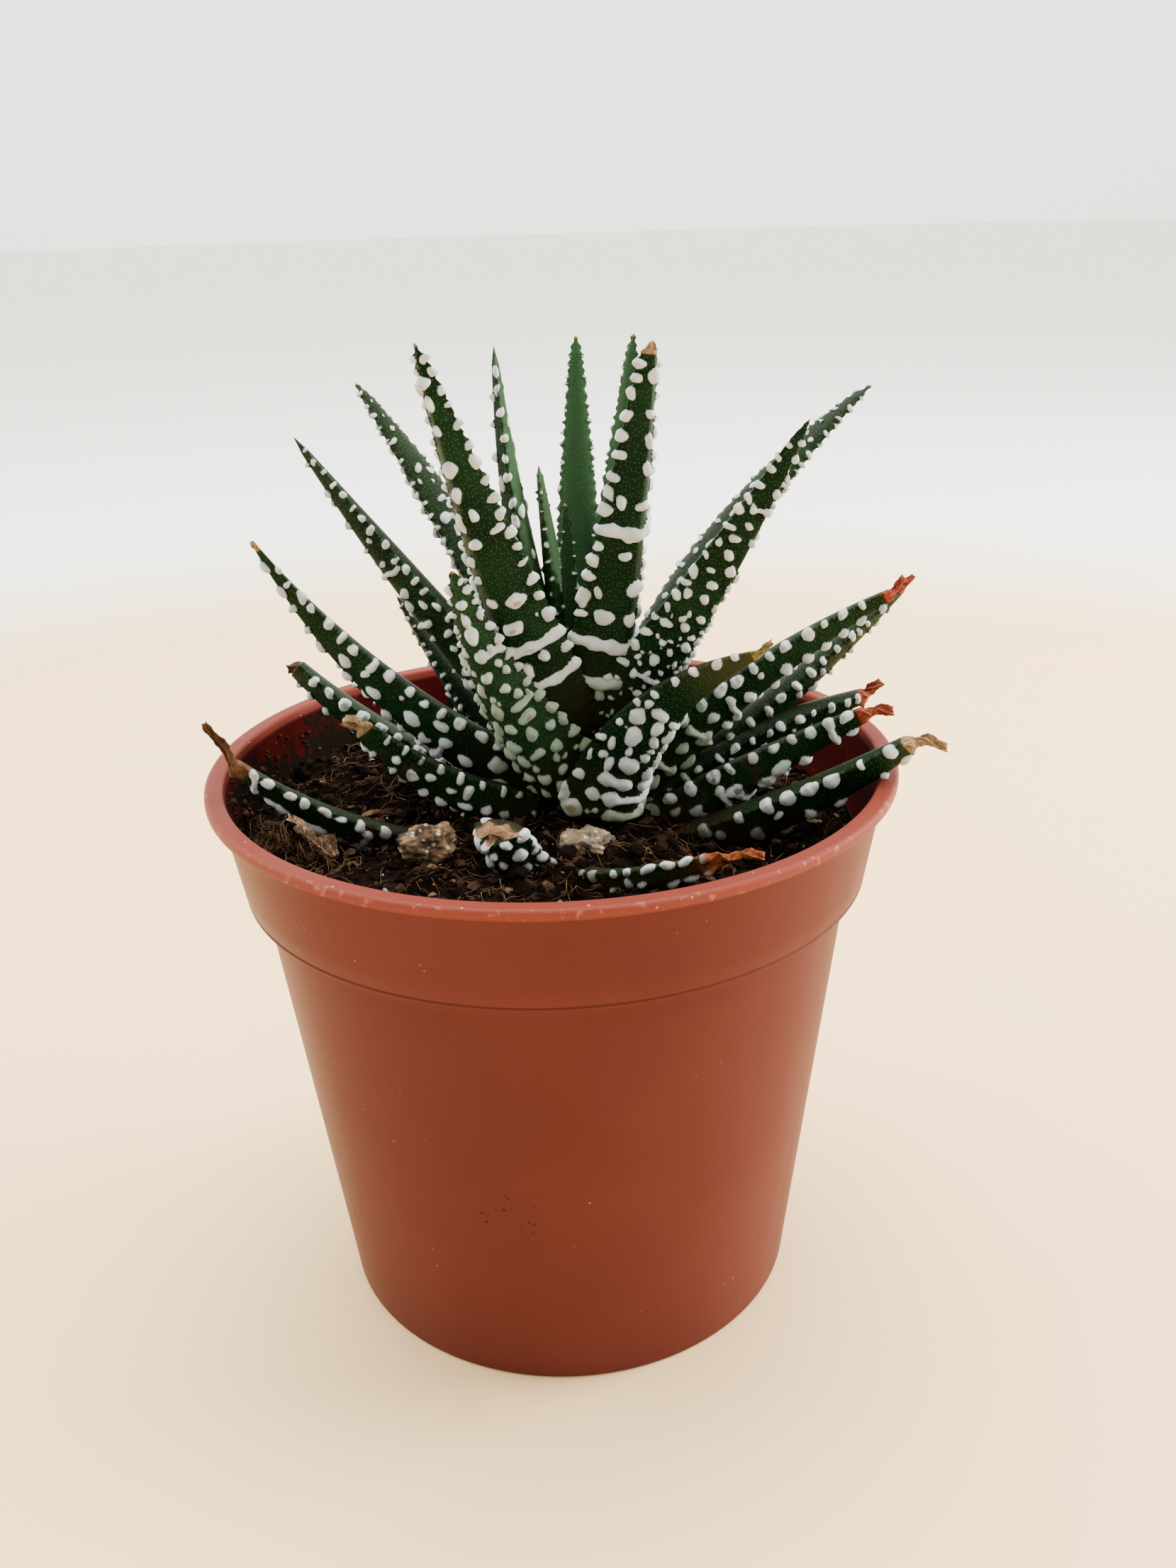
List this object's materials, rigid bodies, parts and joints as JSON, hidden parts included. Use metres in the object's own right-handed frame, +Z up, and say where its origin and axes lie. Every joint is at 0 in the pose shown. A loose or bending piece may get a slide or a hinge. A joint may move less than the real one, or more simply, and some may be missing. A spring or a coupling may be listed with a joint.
{
  "type": "potted haworthia",
  "caption": "Small zebra haworthia with pointed, white-studded leaves in a rosette, growing in soil in a plastic nursery pot.",
  "frame": {"origin": "middle of the pot's foot, on the surface that the pot stands on", "axes": "+Z up along the pot's axis; +Y away from the picture's viewpoint, +X to its right"},
  "size_m": [0.0887, 0.085, 0.1234],
  "materials": {
    "pot_plastic": "satin",
    "soil": "rough",
    "stem": "rough",
    "leaf": "satin",
    "perlite": "rough",
    "dry_leaf": "matte"
  },
  "bodies": {
    "root": {"pot": "pot_plastic", "soil": "soil", "stem": "stem", "leaf_01": "leaf", "leaf_02": "leaf", "leaf_03": "leaf", "leaf_04": "leaf", "leaf_05": "leaf", "leaf_06": "leaf", "leaf_07": "leaf", "leaf_08": "leaf", "leaf_09": "leaf", "leaf_10": "leaf", "leaf_11": "leaf", "leaf_12": "leaf", "leaf_13": "leaf", "leaf_14": "leaf", "leaf_15": "leaf", "leaf_16": "leaf", "leaf_17": "leaf", "leaf_18": "leaf", "leaf_19": "leaf", "leaf_20": "leaf", "leaf_21": "leaf", "leaf_22": "leaf", "leaf_23": "leaf", "leaf_24": "leaf", "leaf_25": "leaf", "leaf_26": "leaf", "perlite_1": "perlite", "perlite_2": "perlite", "perlite_3": "perlite", "old_leaf_scrap": "dry_leaf"}
  },
  "joints": []
}
